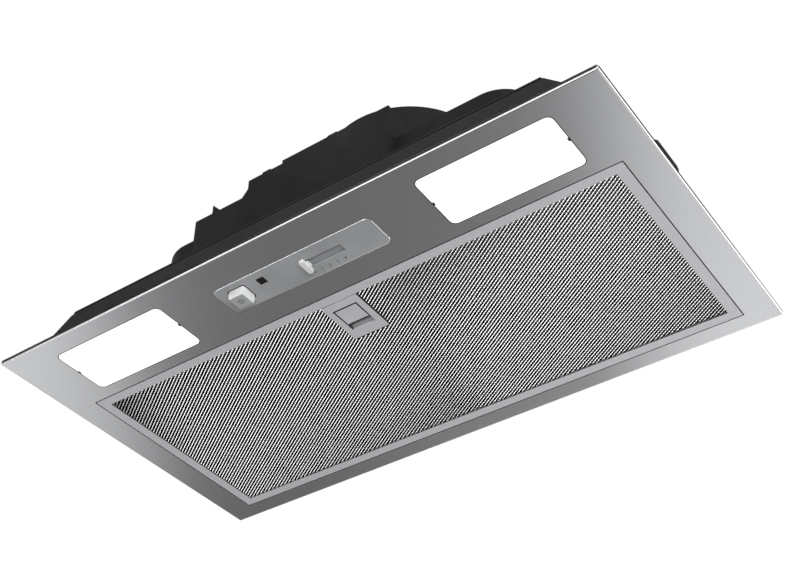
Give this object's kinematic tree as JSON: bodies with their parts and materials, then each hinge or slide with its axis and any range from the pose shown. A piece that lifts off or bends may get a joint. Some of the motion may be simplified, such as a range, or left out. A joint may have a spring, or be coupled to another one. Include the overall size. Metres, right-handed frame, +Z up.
{
  "type": "range hood insert",
  "caption": "Built-in range hood insert: stainless face plate with swing-down grease filter, two lamps, push button and speed slider, black stepped blower casing and round top outlet.",
  "frame": {"origin": "centre of the cabinet cut-out, in the plane where the face plate's rim meets the cabinet underside", "axes": "+X to the user's right seen from the front, +Y to the wall, +Z up; lamps and controls are on the -Y side"},
  "size_m": [0.52, 0.288, 0.22],
  "materials": {
    "satin_stainless": "satin brushed",
    "filter_aluminium": "satin",
    "filter_pad": "open mesh pack",
    "lamp_opal": "opal, lit",
    "white_plastic": "matt",
    "lamp_ceramic": "glazed",
    "bulb_glass": "frosted",
    "grey_panel": "fine grain",
    "light_plastic": "satin",
    "indicator_dark": "smoked",
    "indicator_red": "gloss",
    "black_plastic": "fine moulded grain",
    "dark_plastic": "moulded",
    "zinc_steel": "zinc plated",
    "spring_steel": "drawn",
    "ground_steel": "ground",
    "bearing_bronze": "sintered"
  },
  "bodies": {
    "hood": {"face_plate": "satin_stainless", "lamp_cover_left": "lamp_opal", "lamp_cover_right": "lamp_opal", "lamp_housing_left": "white_plastic", "lamp_housing_right": "white_plastic", "lamp_socket_left": "lamp_ceramic", "lamp_socket_right": "lamp_ceramic", "lamp_bulb_left": "bulb_glass", "lamp_bulb_right": "bulb_glass", "control_panel": "grey_panel", "control_box": "black_plastic", "button_spring": "spring_steel", "light_switch": "black_plastic", "indicator_window": "indicator_dark", "indicator_lamp": "indicator_red", "speed_switch": "black_plastic", "lower_casing": "black_plastic", "upper_casing": "black_plastic", "casing_screws": "zinc_steel", "plate_studs": "zinc_steel", "scroll_left": "black_plastic", "scroll_right": "black_plastic", "inlet_rings": "zinc_steel", "motor_can": "zinc_steel", "motor_bearings": "bearing_bronze", "motor_bracket": "zinc_steel", "motor_screws": "zinc_steel", "capacitor": "white_plastic", "terminal_block": "white_plastic", "terminal_cover": "black_plastic", "cable_gland": "black_plastic", "outlet_collar": "black_plastic", "collar_screws": "zinc_steel", "damper_pin": "zinc_steel", "clip_pins": "zinc_steel", "clip_spring_left": "spring_steel", "clip_spring_right": "spring_steel"},
    "filter": {"filter_frame": "filter_aluminium", "filter_mesh": "filter_aluminium", "filter_core": "filter_pad", "filter_top_mesh": "filter_aluminium", "filter_hooks": "filter_aluminium", "latch_housing": "filter_aluminium", "latch_spring": "spring_steel", "latch_cover": "filter_aluminium"},
    "latch": {"latch_slide": "filter_aluminium"},
    "light_button": {"light_button": "light_plastic"},
    "speed_slider": {"speed_slider": "light_plastic"},
    "fan": {"fan_wheel": "dark_plastic", "motor_shaft": "ground_steel"},
    "damper_front": {"damper_front": "dark_plastic"},
    "damper_rear": {"damper_rear": "dark_plastic"},
    "clip_left": {"side_clip_left": "black_plastic"},
    "clip_right": {"side_clip_right": "black_plastic"}
  },
  "joints": [
    {"name": "filter_swing", "type": "hinge", "parent": "hood", "child": "filter", "pos_m": [0, 0.1267, -0.0028], "axis": [1, 0, 0], "range_deg": [0, 75]},
    {"name": "latch_pull", "type": "slide", "parent": "filter", "child": "latch", "axis": [0, 1, 0], "range_m": [0, 0.006], "stiffness_N_per_m": 250, "springref_m": -0.003, "deforming": ["latch_spring"]},
    {"name": "light_button_press", "type": "slide", "parent": "hood", "child": "light_button", "axis": [0, 0, 1], "range_m": [0, 0.003], "stiffness_N_per_m": 600, "springref_m": -0.001, "deforming": ["button_spring"]},
    {"name": "speed_slide", "type": "slide", "parent": "hood", "child": "speed_slider", "axis": [1, 0, 0], "range_m": [0, 0.027]},
    {"name": "fan_spin", "type": "hinge", "parent": "hood", "child": "fan", "pos_m": [0, 0.04997, 0.0808], "axis": [1, 0, 0], "continuous": true},
    {"name": "damper_front_open", "type": "hinge", "parent": "hood", "child": "damper_front", "pos_m": [0, 0.03867, 0.1828], "axis": [-1, 0, 0], "range_deg": [0, 75]},
    {"name": "damper_rear_open", "type": "hinge", "parent": "hood", "child": "damper_rear", "pos_m": [0, 0.03867, 0.1828], "axis": [1, 0, 0], "range_deg": [0, 75]},
    {"name": "clip_left_fold", "type": "hinge", "parent": "hood", "child": "clip_left", "pos_m": [-0.242, 0, 0.0108], "axis": [0, 1, 0], "range_deg": [0, 18], "stiffness_Nm_per_rad": 0.3, "springref_deg": -17.19, "deforming": ["clip_spring_left"]},
    {"name": "clip_right_fold", "type": "hinge", "parent": "hood", "child": "clip_right", "pos_m": [0.242, 0, 0.0108], "axis": [0, -1, 0], "range_deg": [0, 18], "stiffness_Nm_per_rad": 0.3, "springref_deg": -17.19, "deforming": ["clip_spring_right"]}
  ]
}
